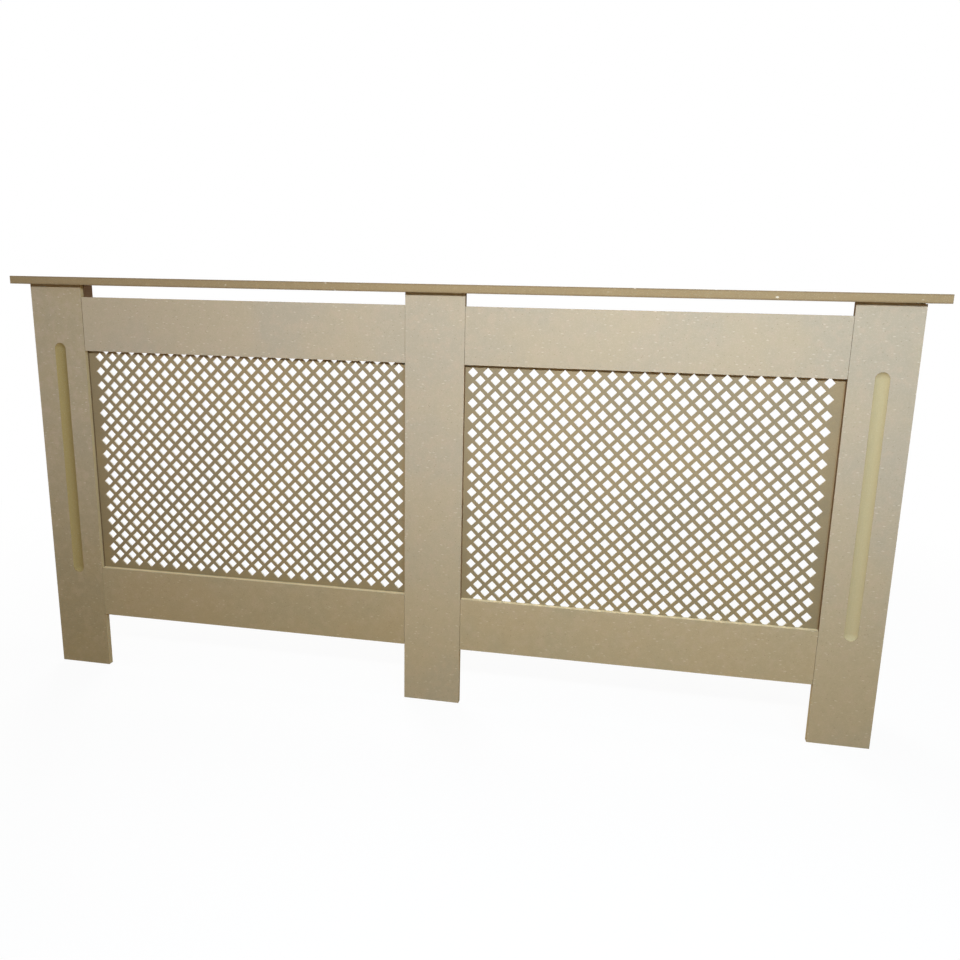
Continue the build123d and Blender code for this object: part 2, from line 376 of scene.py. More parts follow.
# a noise is given by its scale, detail and roughness, flecks by their length, width, share, turn and shift
mdf = {
    "face": (srgb(190, 175, 149), srgb(183, 171, 150)),  # warm and cool clouds
    # painted shade: the bottom rails' tones and the left stile's are darker, yellower copies of the face's
    "lowShadedFace": (srgb(189, 172, 143), srgb(182, 169, 143)),
    "leftShadedFace": (srgb(184, 168, 138), srgb(177, 164, 139)),
    "shelfFace": (srgb(186, 168, 134), srgb(180, 166, 138)),
    "panelFace": (srgb(188, 172, 140), srgb(180, 168, 142)),
    "rosy": srgb(190, 172, 150),
    "fleckLight": srgb(226, 215, 190),
    "fleckDark": srgb(124, 102, 76),
    "chip": srgb(238, 230, 212),
    # painted shade towards the floor: tones that darken and warm the faces low down, strongest on the left
    "lowShadeTone": (0.9, 0.87, 0.75, 1.0),
    "leftLowShadeTone": (0.82, 0.78, 0.64, 1.0),
    "sheetLowShadeTone": (0.84, 0.82, 0.72, 1.0),
    "lowShadeReach": (40 * mm, 600 * mm),
    "clouds": (7, 3, 0.55),
    "mottle": (62, 3, 0.6),
    "felt": (360, 5, 0.7),
    "fibres": (3.2 * mm, 0.7 * mm, 0.28, (0, 12, 0)),
    "crossFibres": (2.6 * mm, 0.6 * mm, 0.22, (0, -58, 0), 0.37),
    "chips": (8.0 * mm, 2.8 * mm, 0.07, (0, 20, 0), 0.11),
    "crossChips": (8.0 * mm, 2.8 * mm, 0.049, (0, -50, 0), 0.83),
    "specks": (3.4 * mm, 2.4 * mm, 0.06, (0, -24, 0), 0.71),
    "patch": (0.35, 0.65),  # span of a noise over which one tone turns into the other
    "specular": 0.2,
}


def mdfFace(name, tones, lowShadeTone=mdf["lowShadeTone"]):
    # sanded face of a fibreboard: clouds of tone, fine felt, scattered pale chips and dark specks
    r = Recipe(name)
    clouds, felt = r.noise(*mdf["clouds"]), r.noise(*mdf["felt"])
    mottle = r.noise(*mdf["mottle"], shift=0.3)
    fibres = r.flecks(*mdf["fibres"]) + r.flecks(*mdf["crossFibres"])
    chips, crossChips = r.flecks(*mdf["chips"]), r.flecks(*mdf["crossChips"])
    specks = r.flecks(*mdf["specks"])
    colour = r.tint(clouds.ramp(*mdf["patch"]), *tones)
    colour = r.tint(mottle.ramp(0.45, 0.7) * 0.5, colour, mdf["rosy"])
    colour = r.tint(fibres * 0.34, colour, mdf["fleckLight"])
    colour = r.tint((chips + crossChips) * 0.34, colour, mdf["chip"])
    colour = r.tint(specks * 0.36, colour, mdf["fleckDark"])
    # painted shade towards the floor, by the given tone
    colour = r.paintedLowShade(r.shade(colour, 0.76 + felt * 0.24 + clouds * 0.08 + mottle * 0.14), lowShadeTone)
    height = felt * 0.5 + fibres * 0.2 + chips * 0.3 - specks * 0.4
    return r.finish(colour, 0.62 + felt * 0.16 + specks * 0.1, mdf["specular"], (height, 0.25, 0.15 * mm))


sawn = {
    # the plain edge tone is darker than the faces, as sawn MDF is, and darkened further as painted shade
    # on upright edges that the light grazes
    "edge": srgb(130, 105, 74),
    # painted light: the pale tone of the stiles' edges near the floor, as lit by the floor's bounce light
    "footLit": srgb(184, 166, 124),
    # painted light: the left stile's inner edge is made nearly as pale as its lit front
    "window": srgb(182, 167, 130),
    # painted highlight: pale for the rails' top edges, which are lit from above
    "rail": srgb(232, 214, 172),
    "shelf": srgb(158, 137, 102),
    "dark": srgb(96, 74, 50),
    "wool": (300, 5, 0.7),
    "streaks": (60, 3, 0.6),
    "fibres": (2.4 * mm, 0.6 * mm, 0.35, (0, 8, 5)),
    "chips": (9 * mm, 5 * mm, 0.012, (0, 0, 0), 0.53),
    "skin": (0.55, 1.0),  # in halves of the thickness, from the board's middle
    "shutOff": (0.05, 0.6),  # the same, to the back alone
    "shutOffReach": (195 * mm, 225 * mm),
    "footReach": (60 * mm, 220 * mm),
    "seam": 1 * mm,  # over which the dark joint fades out
}


def mdfEdge(name, across, middle, half, tone, footLitTone=None, chipped=False, inWindow=False):
    # sawn edge: open fibres, dense dark skins and a paler core across the thickness
    r = Recipe(name)
    depth = (r.along(across) - middle) / half
    wool, streaks = r.noise(*sawn["wool"]), r.noise(*sawn["streaks"], shift=0.2)
    fibres = r.flecks(*sawn["fibres"])
    # painted light from the floor's bounce, paler towards the floor
    if footLitTone:  # paler towards the floor
        tone = r.tint(r.along(2).ramp(*sawn["footReach"]), footLitTone, tone)
    if inWindow:  # dark to the back, where the grille shuts off the light, and in the top rail's joint
        low, high = rails["top"]
        seam, height = sawn["seam"], r.along(2)
        skin = depth.ramp(*sawn["shutOff"]) * height.ramp(*sawn["shutOffReach"]) * 2
        joint = height.ramp(low - seam, low + seam) * (1 - height.ramp(high - seam, high + seam))
        tone = r.tint(joint, tone, sawn["dark"])
    else:
        skin = abs(depth).ramp(*sawn["skin"])
    # skin is the board's dense skins; on the window's edge it is painted shade to the back instead
    colour = r.tint(skin * 0.45, tone, sawn["dark"])
    colour = r.tint(fibres * 0.4, colour, mdf["fleckLight"])
    if chipped:  # a few torn, pale spots
        colour = r.tint(r.flecks(*sawn["chips"]) * 0.8, colour, mdf["chip"])
    colour = r.shade(colour, 0.82 + wool * 0.24 + streaks * 0.12)
    return r.finish(colour, 0.78 + wool * 0.12, 0.25, (wool + fibres * 0.3, 0.5, 0.3 * mm))


routed = {
    # painted shade: the left flute's tone is the right's made darker and yellower
    "left": srgb(164, 146, 96),
    "right": srgb(194, 180, 140),
    "wool": (380, 4, 0.7),
    "marks": (900, 2, 0.5),
    "marksStretch": (1, 1, 0.04),
    "fibres": (2.6 * mm, 0.6 * mm, 0.35, (0, 70, 0)),
}


def mdfRouted(name, tone):
    # a flute, where the cutter opened the core: yellower, with fine marks along its path
    r = Recipe(name)
    wool, marks = r.noise(*routed["wool"]), r.noise(*routed["marks"], stretch=routed["marksStretch"])
    colour = r.tint(r.flecks(*routed["fibres"]) * 0.35, tone, mdf["fleckLight"])
    colour = r.shade(colour, 0.84 + wool * 0.18 + marks * 0.1)
    return r.finish(colour, 0.7 + wool * 0.15, 0.25, (wool * 0.6 + marks * 0.5, 0.4, 0.2 * mm))


hardboard = {
    # painted shade: the left sheet's tones are a little darker and yellower than the right's
    "left": (srgb(159, 140, 105), srgb(149, 133, 103)),
    "right": (srgb(162, 143, 109), srgb(151, 136, 107)),
    "light": srgb(206, 184, 136),
    "dark": srgb(100, 78, 46),
    "clouds": (9, 3, 0.6),
    "felt": (520, 4, 0.65),
    "lightFlecks": (2.8 * mm, 0.6 * mm, 0.3, (0, 20, 0)),
    "darkFlecks": (2.6 * mm, 0.6 * mm, 0.22, (0, -40, 0), 0.4),
    # painted light: pale hole walls, as lit from the bright backdrop behind
    "cut": (srgb(214, 202, 176), srgb(234, 225, 204)),
    "cutWool": (420, 4, 0.7),
}


def sheetFace(name, tones):
    # thin hard fibreboard of the grilles: ochre, denser and a little shiny
    r = Recipe(name)
    clouds, felt = r.noise(*hardboard["clouds"]), r.noise(*hardboard["felt"])
    light, dark = r.flecks(*hardboard["lightFlecks"]), r.flecks(*hardboard["darkFlecks"])
    colour = r.tint(clouds.ramp(*mdf["patch"]), *tones)
    colour = r.tint(light * 0.35, colour, hardboard["light"])
    colour = r.tint(dark * 0.4, colour, hardboard["dark"])
    # painted shade towards the floor
    colour = r.paintedLowShade(r.shade(colour, 0.88 + felt * 0.2), mdf["sheetLowShadeTone"])
    height = felt * 0.6 + light * 0.3 - dark * 0.3
    return r.finish(colour, 0.55 + felt * 0.15, 0.35, (height, 0.3, 0.15 * mm))


def sheetCut(name):
    # pale walls of the punched holes and the sheet's own edges; the pale tone is painted light, as from
    # the bright backdrop behind the holes
    r = Recipe(name)
    wool = r.noise(*hardboard["cutWool"])
    colour = r.tint(wool.ramp(0.3, 0.7), *hardboard["cut"])
    return r.finish(colour, 0.8 + wool * 0.1, 0.2, (wool, 0.5, 0.25 * mm))


pineLook = {
    # painted shade: both tones are darker than planed pine, for the battens' place in the shade under the
    # shelf
    "early": srgb(166, 142, 118),
    "late": srgb(128, 100, 80),
    "lie": ((1, 0.1, 1), (0, 52, 0)),  # stretch along the batten, and tilt of the rings
    "rings": {"Scale": 95.0, "Distortion": 2.5, "Detail": 2.0, "Detail Scale": 1.2},
    "streaks": (700, 3, 0.6),
    "streakStretch": (1, 0.03, 1),
}


def pineWood(name):
    # planed pine, its grain along the batten: bands of early and late wood, and fine streaks
    r = Recipe(name)
    settings = {"wave_type": "BANDS", "bands_direction": "X", "wave_profile": "SAW"}
    values = {"Vector": r.moved(*pineLook["lie"]), **pineLook["rings"]}
    late = r.node("ShaderNodeTexWave", settings, values).ramp(0.35, 1.0)
    streaks = r.noise(*pineLook["streaks"], stretch=pineLook["streakStretch"])
    colour = r.tint(late * 0.6, pineLook["early"], pineLook["late"])
    colour = r.shade(colour, 0.86 + streaks * 0.26)
    return r.finish(colour, 0.52 + streaks * 0.18, 0.35, (streaks * 0.6 - late * 0.4, 0.3, 0.15 * mm))


beechLook = {
    "tones": (srgb(206, 172, 128), srgb(188, 148, 102)),
    "ray": srgb(150, 108, 70),
    "grain": (260, 3, 0.55),
    "rays": (2.2 * mm, 0.35 * mm, 0.35),
}


def beechWood(name, grainStretch, rayTurn):
    # fluted beech dowels: pale, with fine dashes of the rays
    r = Recipe(name)
    grain = r.noise(*beechLook["grain"], stretch=grainStretch)
    colour = r.tint(grain.ramp(*mdf["patch"]), *beechLook["tones"])
    colour = r.tint(r.flecks(*beechLook["rays"], rayTurn) * 0.5, colour, beechLook["ray"])
    return r.finish(colour, 0.5 + grain * 0.15, 0.4, (grain, 0.3, 0.1 * mm))


plasticLook = {
    "tones": (srgb(96, 74, 54), srgb(112, 88, 66)),
    "skin": (1400, 3, 0.6),
    "wear": (70, 4, 0.6),
}


def blockPlastic(name):
    # moulded brown plastic with a fine spark-eroded skin
    r = Recipe(name)
    skin, wear = r.noise(*plasticLook["skin"]), r.noise(*plasticLook["wear"])
    colour = r.tint(wear.ramp(0.4, 0.7), *plasticLook["tones"])
    return r.finish(colour, 0.42 + skin * 0.14, 0.5, (skin, 0.25, 0.06 * mm))


zincLook = {
    "tones": (srgb(204, 206, 206), srgb(172, 172, 168)),
    "spangle": 500.0,
    "dull": (160, 4, 0.6),
    "fine": (900, 2, 0.5),
    "wireTones": (srgb(186, 184, 178), srgb(150, 146, 138)),
    "drawn": (1500, 3, 0.6),
    "drawnStretch": (0.2, 1, 1),
}


def zincSteel(name):
    # bright zinc plating, with its spangle and a few dull spots
    r = Recipe(name)
    values = {"Vector": r.place, "Scale": zincLook["spangle"]}
    spangle = r.node("ShaderNodeTexVoronoi", {}, values, "Color")
    patch = r.node("ShaderNodeSeparateColor", {}, {0: spangle})
    dull = r.noise(*zincLook["dull"]).ramp(0.5, 0.7)
    fine = r.noise(*zincLook["fine"])
    colour = r.shade(r.tint(dull, *zincLook["tones"]), 0.92 + patch * 0.08)
    roughness = 0.26 + patch * 0.08 + dull * 0.16
    return r.finish(colour, roughness, bump=(fine, 0.12, 0.05 * mm), metallic=1.0)


def stapleWire(name):
    # galvanised wire, drawn along its length
    r = Recipe(name)
    drawn = r.noise(*zincLook["drawn"], stretch=zincLook["drawnStretch"])
    colour = r.tint(drawn.ramp(0.3, 0.7), *zincLook["wireTones"])
    return r.finish(colour, 0.3 + drawn * 0.15, bump=(drawn, 0.2, 0.04 * mm), metallic=1.0)


# the direction through the board, its middle plane and half its thickness
throughFrame = (1, cabinet["frameMiddle"], cabinet["boardHalf"])
throughShelf = (2, cabinet["shelfMiddle"], cabinet["shelfHalf"])
throughPanel = {
    name: (0, side * cabinet["panelMiddle"], cabinet["boardHalf"]) for name, side in sides.items()
}

frameFace = mdfFace("frameFace", mdf["face"])
# painted shade: the bottom rails take darker, yellower copies of the face
lowShadedFace = {
    "left": mdfFace("leftLowShadedFace", mdf["lowShadedFace"], mdf["leftLowShadeTone"]),
    "right": mdfFace("rightLowShadedFace", mdf["lowShadedFace"]),
}
# painted shade: the left stile takes a darker copy of the face
stileFace = {"left": mdfFace("leftShadedFace", mdf["leftShadedFace"], mdf["leftLowShadeTone"]), "right": frameFace}
# painted shade on the stiles' and panels' edges; painted light on the left stile's inner edge and on the
# rails' edges
stileEdge = mdfEdge("stileEdge", *throughFrame, sawn["edge"], footLitTone=sawn["footLit"])
windowEdge = mdfEdge("windowEdge", *throughFrame, sawn["window"], inWindow=True)
railEdge = mdfEdge("railEdge", *throughFrame, sawn["rail"])
fluteRouted = {name: mdfRouted(name + "Flute", routed[name]) for name in sides}
shelfFace = mdfFace("shelfFace", mdf["shelfFace"])
shelfEdge = mdfEdge("shelfEdge", *throughShelf, sawn["shelf"], chipped=True)
panelFace = mdfFace("panelFace", mdf["panelFace"])
panelEdge = {name: mdfEdge(name + "PanelEdge", *throughPanel[name], sawn["edge"]) for name in sides}
grilleFace = {name: sheetFace(name + "GrilleFace", hardboard[name]) for name in sides}
grilleCut = sheetCut("grilleCut")
beech = beechWood("beech", (0.12, 1, 1), (0, 0, 0))
beechUpright = beechWood("beechUpright", (1, 1, 0.12), (0, 90, 0))
pine = pineWood("pine")
plastic = blockPlastic("plastic")
zinc = zincSteel("zinc")
wire = stapleWire("wire")
print("finishes ready")


dowels = {
    "radius": 3.0 * mm,
    "frameLength": 30 * mm,
    "shelfLength": 24 * mm,
    "facets": 32,
    "chamfer": 0.7 * mm,
    "groove": (0.08 * mm, -0.22 * mm),  # inset and depth of the flutes for the glue
    "play": 0.05 * mm,
    "endGap": 1.0 * mm,
    "drillFacets": 24,
    "drillReach": 20 * mm,  # a dowel as near as this to a board is drilled for in it
    "railInset": 26 * mm,
    "railEnds": (56 * mm, 717 * mm),
    "shelfJoint": 797 * mm,
    "centreSplit": 32 * mm,  # of the centre stile's two, to either side
}
frameDowelPlaces = [
    (side * x, cabinet["frameMiddle"], z)
    for side in sides.values()
    for x in dowels["railEnds"]
    for low, high in rails.values()
    for z in (low + dowels["railInset"], high - dowels["railInset"])
]
shelfDowelPlaces = [
    (side * x, y, dowels["shelfJoint"])
    for side in sides.values()
    for x, y in (
        (cabinet["stileMiddle"], cabinet["frameMiddle"]),
        (dowels["centreSplit"], cabinet["frameMiddle"]),
        (cabinet["panelMiddle"], cabinet["panelCentre"]),
    )
]
dowelKinds = (("frame", frameDowelPlaces, (0, pi / 2, 0)), ("shelf", shelfDowelPlaces, (0, 0, 0)))


def dowelDrills(node):
    # the holes of the dowels that reach into this board
    low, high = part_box(node)
    made = []
    reach, radius = dowels["drillReach"], dowels["radius"] + dowels["play"]
    for kind, places, turn in dowelKinds:
        length = dowels[kind + "Length"] + 2 * dowels["endGap"]
        for place in places:
            if all(a - reach < p < b + reach for a, p, b in zip(low, place, high)):
                made.append(addRod("drill", radius, length, dowels["drillFacets"], place, turn))
    return made


boards = {
    "ease": 0.45 * mm,
    "easeSegments": 2,
    "shelfEase": 0.8 * mm,
    "shelfEaseSegments": 3,
    "gap": 0.5 * mm,  # hairline between a rail and a stile
    "faceShare": 0.8,  # share of the normal through the board from which a face isn't a sawn edge
    "dropFrom": 790 * mm,
    "drop": 1.1 * mm,
}


def addBoard(node, gap=0.0):
    # a board as large as its CAD node, less the gap at its ends, drilled for its dowels
    low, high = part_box(node)
    ends = Vector((gap, 0, 0))
    piece = addBlock(node.replace("_", "") + "Board", low + ends, high - ends)
    drills = dowelDrills(node)
    return cut(piece, drills) if drills else piece


def finishFaces(piece, axis):
    # the faces square to the board's thickness keep slot 0, the sawn edges take slot 1
    for face in piece.data.polygons:
        face.material_index = 0 if abs(face.normal[axis]) > boards["faceShare"] else 1


def finishBoard(piece, node, axis, materials, ease=boards["ease"], segments=boards["easeSegments"]):
    # eased edges, soft shading, then a finish on the faces and another on the sawn edges
    eased(piece, ease, segments)
    dressed(smoothed(piece), [node], materials)
    finishFaces(piece, axis)


def droppedCorner(piece):
    # the right stile's top runs down a little to its outer corner, and leaves a thin wedge under the shelf
    editing(piece)
    bpy.ops.mesh.select_all(action="SELECT")
    bpy.ops.mesh.bisect(plane_co=(boards["dropFrom"], 0, 0), plane_no=(1, 0, 0))
    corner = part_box("right_stile")[1]

    def atCorner(edge):
        return all(corner.x + corner.z - v.co.x - v.co.z < mm for v in edge.verts)

    pick(piece, atCorner, edges=True)
    bpy.ops.transform.translate(value=(0, 0, -boards["drop"]))
    finished(piece)


flutes = {
    "middle": cabinet["stileMiddle"],
    "width": 24 * mm,
    "depth": 6 * mm,
    "overrun": 14 * mm,  # past the window's height
    "segments": 96,
    "rings": 48,
    "sideSlack": 0.2 * mm,
    "floorSlack": 0.5 * mm,
    "endSlack": 1 * mm,
    "lip": 0.3 * mm,  # of the eased rim, which keeps the stile's own finish
}


def fluteCutter(x):
    # a long ball-nosed bar: a ball whose upper half is pulled up
    halfWidth = flutes["width"] / 2
    radius = (halfWidth**2 + flutes["depth"] ** 2) / (2 * flutes["depth"])
    low = window[0] - flutes["overrun"] + halfWidth
    high = window[1] + flutes["overrun"] - halfWidth
    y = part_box("left_stile")[0].y + flutes["depth"] - radius
    bpy.ops.mesh.primitive_uv_sphere_add(
        segments=flutes["segments"], ring_count=flutes["rings"], radius=radius, location=(x, y, low)
    )
    piece = added("fluteCutter")
    editing(piece)
    pick(piece, lambda face: face.calc_center_median().z > low)
    pull(0, 0, high - low)
    return finished(piece)


def inFlute(place, side):
    # whether a face's middle lies in the flute
    across = abs(place.x - side * flutes["middle"]) < flutes["width"] / 2 + flutes["sideSlack"]
    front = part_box("left_stile")[0].y
    deep = front + flutes["lip"] < place.y < cabinet["frameMiddle"] + flutes["floorSlack"]
    reach = flutes["overrun"] + flutes["endSlack"]
    return across and deep and window[0] - reach < place.z < window[1] + reach


for name, side in sides.items():
    node = f"{name}_stile"
    stile = addBoard(node)
    if name == "right":
        droppedCorner(stile)
    cut(stile, [fluteCutter(side * flutes["middle"])])
    stileFinishes = [stileFace[name], stileEdge, fluteRouted[name], windowEdge]
    finishBoard(stile, node, 1, stileFinishes)
    for face in stile.data.polygons:
        if inFlute(face.center, side):
            face.material_index = 2
        elif name == "left" and face.normal.x > boards["faceShare"]:
            face.material_index = 3
    for level in rails:
        node = f"{name}_{level}_rail"
        railFace = lowShadedFace[name] if level == "bottom" else frameFace
        finishBoard(addBoard(node, boards["gap"]), node, 1, [railFace, railEdge])
    node = f"{name}_side_panel"
    finishBoard(addBoard(node), node, 0, [panelFace, panelEdge[name]])

finishBoard(addBoard("centre_stile"), "centre_stile", 1, [frameFace, stileEdge])
finishBoard(
    addBoard("top_shelf"), "top_shelf", 2, [shelfFace, shelfEdge],
    boards["shelfEase"], boards["shelfEaseSegments"],
)
print("boards made")


grilles = {
    "width": 700 * mm,
    "height": 500 * mm,
    "thickness": 3 * mm,
    "pitch": 20 * mm,  # along the bars
    "bar": 6.6 * mm,
    "columns": 44,  # steps between the first and last hole of a long row
    "rows": 31,
    "cells": 45,
    "slack": 1 * mm,  # past the middles of the outermost holes
    "middleX": 383 * mm,
    "middleZ": {"left": 454.5 * mm, "right": 441.5 * mm},
    "tilt": {"left": 0.0, "right": -0.5},  # degrees
    "flip": {"left": -1, "right": 1},  # the left sheet is turned end for end
}


def grilleSheet(name):
    # a diagonal grid of cells, each opened inside a rim of half a bar, then trimmed and thickened
    g = grilles
    step, cells = g["pitch"] / sqrt(2), g["cells"]
    bpy.ops.mesh.primitive_grid_add(
        x_subdivisions=cells, y_subdivisions=cells, size=cells * g["pitch"], rotation=(0, 0, pi / 4)
    )
    sheet = added(name + "GrilleSheet")
    sheet.location = (g["flip"][name] * step, g["flip"][name] * step / 2, 0)
    settled(sheet)
    editing(sheet)
    reachX = g["columns"] / 2 * step + g["slack"]
    reachZ = g["rows"] / 2 * step + g["slack"]

    def isHole(face):
        middle = face.calc_center_median()
        return abs(middle.x) < reachX and abs(middle.y) < reachZ

    pick(sheet, isHole)
    bpy.ops.mesh.inset(thickness=g["bar"] / 2, use_individual=True, use_even_offset=True)
    bpy.ops.mesh.delete(type="FACE")
    for axis, reach in (((1, 0, 0), g["width"] / 2), ((0, 1, 0), g["height"] / 2)):
        for way in (-1, 1):
            bpy.ops.mesh.select_all(action="SELECT")
            normal = Vector(axis) * way
            bpy.ops.mesh.bisect(plane_co=normal * reach, plane_no=normal, clear_outer=True)
    finished(sheet)
    applied(
        sheet, "SOLIDIFY", thickness=g["thickness"], offset=-1.0,
        use_even_offset=True, material_offset_rim=1,
    )
    stand = Matrix.Rotation(pi / 2, 4, "X")
    tilt = Matrix.Rotation(radians(g["tilt"][name]), 4, "Y")
    place = Matrix.Translation((sides[name] * g["middleX"], cabinet["frameBack"], g["middleZ"][name]))
    sheet.matrix_world = place @ tilt @ stand
    return settled(sheet)


for name in sides:
    sheet = dressed(grilleSheet(name), [name + "_grille"], [grilleFace[name], grilleCut])
    finishFaces(sheet, 1)
print("grilles made")


screws = {
    "headRadius": 3.5 * mm,
    "headHeight": 2.2 * mm,
    "facets": 20,
    "dome": 1.1 * mm,
    "domeSegments": 3,
    "core": 1.1 * mm,
    "tip": 3.0 * mm,
    "tipShare": 0.08,  # of the core's width, left at the point
    "crossLength": 4.2 * mm,
    "crossWidth": 0.9 * mm,
    "crossDepth": 1.4 * mm,
    "crossShare": 0.5,  # of the cross's width, left at its bottom
    "thread": 0.55 * mm,  # radius of the ridge's three-sided section
    "threadSteps": 10,  # round one turn
    "threadEnd": 0.6 * mm,
    "pitch": 1.6 * mm,
    "lengths": {"block": 14 * mm, "panel": 25 * mm, "shelf": 30 * mm, "bracket": 10 * mm},
}


def crossBlade(turn):
    # one arm of the cross in a screw's head, narrower at its bottom
    s = screws
    bpy.ops.mesh.primitive_cube_add(
        size=1, location=(0, 0, s["headHeight"]), rotation=(0, 0, turn),
        scale=(s["crossLength"], s["crossWidth"], 2 * s["crossDepth"]),
    )
    blade = added("blade")
    editing(blade)
    pick(blade, looksDown)
    bottom = (0, 0, s["headHeight"] - s["crossDepth"])
    bpy.ops.transform.resize(value=(s["crossShare"], s["crossShare"], 1), center_override=bottom)
    return finished(blade)


def screwThread(length):
    # a three-sided ridge wound up the core
    s = screws
    start = (s["core"], 0, s["tip"] - length)
    turns = int((length - s["tip"] - s["threadEnd"]) / s["pitch"])
    bpy.ops.mesh.primitive_circle_add(
        vertices=3, radius=s["thread"], location=start, rotation=(pi / 2, pi / 2, 0)
    )
    thread = added("thread")
    applied(
        thread, "SCREW", axis="Z", screw_offset=s["pitch"], iterations=turns,
        steps=s["threadSteps"], render_steps=s["threadSteps"],
    )
    editing(thread)
    bpy.ops.mesh.select_all(action="SELECT")
    bpy.ops.mesh.fill_holes(sides=4)
    bpy.ops.mesh.normals_make_consistent(inside=False)
    return finished(thread)


def screwModel(kind):
    # a pan head with its seat at the origin, drawn down to the core and the point
    s = screws
    length = s["lengths"][kind]
    piece = addRod("screw", s["headRadius"], s["headHeight"], s["facets"], (0, 0, s["headHeight"] / 2))
    editing(piece)
    pick(piece, looksDown)
    bpy.ops.mesh.inset(thickness=s["headRadius"] - s["core"])
    pull(0, 0, s["tip"] - length)
    pull(0, 0, -s["tip"])
    bpy.ops.transform.resize(value=(s["tipShare"], s["tipShare"], 1), center_override=(0, 0, -length))
    pick(piece, lambda edge: all(abs(v.co.z - s["headHeight"]) < near for v in edge.verts), edges=True)
    bevelPicked(s["dome"], s["domeSegments"])
    finished(piece)
    cut(piece, [crossBlade(0), crossBlade(pi / 2)])
    return smoothed(joined("screw", [piece, screwThread(length)]), 35)


def seatedOn(frames, seats):
    # every seat, a place and a direction, in every frame
    return [frame @ pointing(*seat) for frame in frames for seat in seats]


pockets = {
    "radius": 4.2 * mm,
    "reach": 16 * mm,
    "holeRadius": 1.7 * mm,
    "holeReach": 24 * mm,
    "facets": 24,
}


def screwPocket(place, direction):
    # the cutter for a screw: wide above its seat, narrow below
    p = pockets
    piece = addRod("pocketCutter", p["radius"], p["reach"], p["facets"], (0, 0, p["reach"] / 2))
    editing(piece)
    pick(piece, looksDown)
    bpy.ops.mesh.inset(thickness=p["radius"] - p["holeRadius"])
    pull(0, 0, -p["holeReach"])
    finished(piece)
    piece.matrix_world = pointing(place, direction)
    return settled(piece)


blocks = {
    "size": 20 * mm,
    "half": 16 * mm,
    "chamfer": 12 * mm,
    "ease": 0.7 * mm,
    "easeSegments": 2,
    # places and directions in the block's own frame
    "seats": [((5 * mm, 12 * mm, 8 * mm), (1, 0, 0)), ((12 * mm, 5 * mm, -8 * mm), (0, 1, 0))],
    "sideHeights": (100 * mm, 400 * mm, 700 * mm),
    "shelfPlaces": (-cabinet["stileMiddle"], 0, cabinet["stileMiddle"]),
}


def blockModel():
    # a square bar with its outer corner cut off, two pockets and softened edges
    b = blocks
    piece = addBlock("block", (0, 0, -b["half"]), (b["size"], b["size"], b["half"]))
    editing(piece)
    pick(piece, lambda edge: all(v.co.x + v.co.y > 2 * b["size"] - near for v in edge.verts), edges=True)
    bevelPicked(b["chamfer"], 1)
    finished(piece)
    eased(piece, b["ease"], b["easeSegments"])
    return smoothed(cut(piece, [screwPocket(*seat) for seat in b["seats"]]))


def onPanel(side, y, z, yDirection):
    # a place on the inside of a side panel, its own X to the cabinet's middle
    return placeFrom((side * cabinet["panelInside"], y, z), (-side, 0, 0), yDirection)


blockFrames = {
    "side": [
        onPanel(side, cabinet["frameBack"], z, (0, 1, 0))
        for side in sides.values()
        for z in blocks["sideHeights"]
    ],
    "shelf": [
        placeFrom((x, cabinet["frameBack"], cabinet["underShelf"]), (0, 1, 0), (0, 0, -1))
        for x in blocks["shelfPlaces"]
    ],
}
for kind, frames in blockFrames.items():
    made = copiesAt(kind + "JointBlocks", blockModel(), frames)
    dressed(made, [kind + "_joint_blocks"], [plastic])
    made = copiesAt(kind + "BlockScrews", screwModel("block"), seatedOn(frames, blocks["seats"]))
    dressed(made, [kind + "_block_screws"], [zinc])
print("joint blocks made")


battens = {
    "width": 20 * mm,
    "height": 28 * mm,
    "half": 68.5 * mm,
    "ease": 1.2 * mm,
    "easeSegments": 3,
    "seats": {  # in the batten's own frame, its Z along the batten
        "panel": [((16 * mm, 14 * mm, z), (1, 0, 0)) for z in (-36.5 * mm, 36.5 * mm)],
        "shelf": [((10 * mm, 18 * mm, z), (0, 1, 0)) for z in (-54.5 * mm, 54.5 * mm)],
    },
}


def battenModel():
    # an eased bar with the pockets of its screws
    b = battens
    piece = addBlock("batten", (0, 0, -b["half"]), (b["width"], b["height"], b["half"]))
    eased(piece, b["ease"], b["easeSegments"])
    return smoothed(cut(piece, [screwPocket(*seat) for seats in b["seats"].values() for seat in seats]))


battenFrames = [
    onPanel(side, cabinet["panelCentre"], cabinet["underShelf"], (0, 0, -1)) for side in sides.values()
]
dressed(copiesAt("shelfBattens", battenModel(), battenFrames), ["shelf_battens"], [pine])
battenScrews = [
    copiesAt(kind + "Screws", screwModel(kind), seatedOn(battenFrames, seats))
    for kind, seats in battens["seats"].items()
]
dressed(joined("battenScrews", battenScrews), ["batten_screws"], [zinc])
print("battens made")


brackets = {
    "thickness": 2 * mm,
    "wallLeg": 30 * mm,
    "sideLeg": 51 * mm,
    "half": 10 * mm,
    "bend": 1 * mm,
    "corner": 4 * mm,
    "roundSegments": 5,
    "ease": 0.25 * mm,
    "wallHole": (18 * mm, 2.25 * mm),  # place and radius
    "sideHole": (39 * mm, 1.7 * mm),
    "holeFacets": 32,
    "back": 95 * mm,
    "height": 725 * mm,
}


